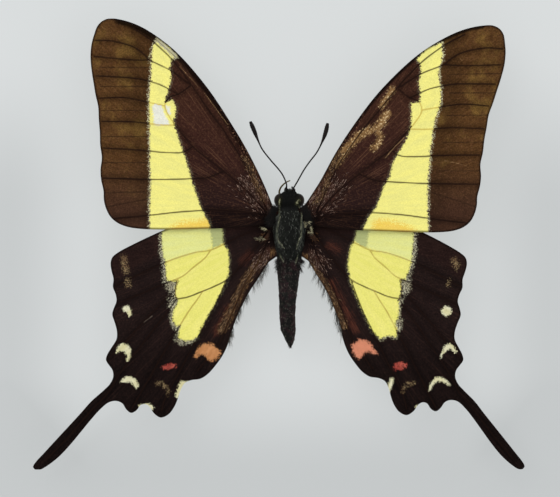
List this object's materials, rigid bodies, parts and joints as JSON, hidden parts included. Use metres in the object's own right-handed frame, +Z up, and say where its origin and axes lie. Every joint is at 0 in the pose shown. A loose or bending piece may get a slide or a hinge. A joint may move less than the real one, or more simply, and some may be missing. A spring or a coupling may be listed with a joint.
{
  "type": "swallowtail butterfly model",
  "caption": "Life-size still swallowtail butterfly with wings spread flat, dark wings crossed by a broad yellow band, long tails, clubbed antennae, standing on its legs.",
  "frame": {"origin": "centre of the outline seen from above, on the floor under the feet", "axes": "+X towards the insect's right and the longest extent, +Y towards its head, +Z up from the floor and the shortest extent"},
  "size_m": [0.0741, 0.0678, 0.0093],
  "materials": {
    "head": "dark grey-black hair and scales, matt",
    "thorax": "dense dark grey-black hair with pale grey-green side stripes, matt",
    "abdomen": "near-black scales in rings, matt",
    "eye": "dark brown faceted eye, softly glossy",
    "limb": "black-brown cuticle with fine scales, matt",
    "proboscis": "golden brown tube, satin",
    "forewing": "brown-black and olive-brown scales with a broad pale yellow band, matt",
    "hindwing": "brown-black scales with a broad yellow patch, cream lunules and red spots, matt",
    "tail": "brown-black scales, matt"
  },
  "bodies": {
    "root": {"abdomen": "abdomen", "antenna_left": "limb", "antenna_right": "limb", "eye_left": "eye", "eye_right": "eye", "forewing_left": "forewing", "forewing_right": "forewing", "head": "head", "hindwing_left": "hindwing", "hindwing_right": "hindwing", "leg_fore_left": "limb", "leg_fore_right": "limb", "leg_hind_left": "limb", "leg_hind_right": "limb", "leg_mid_left": "limb", "leg_mid_right": "limb", "palp_left": "limb", "palp_right": "limb", "proboscis": "proboscis", "tail_left": "tail", "tail_right": "tail", "thorax": "thorax"}
  },
  "joints": []
}
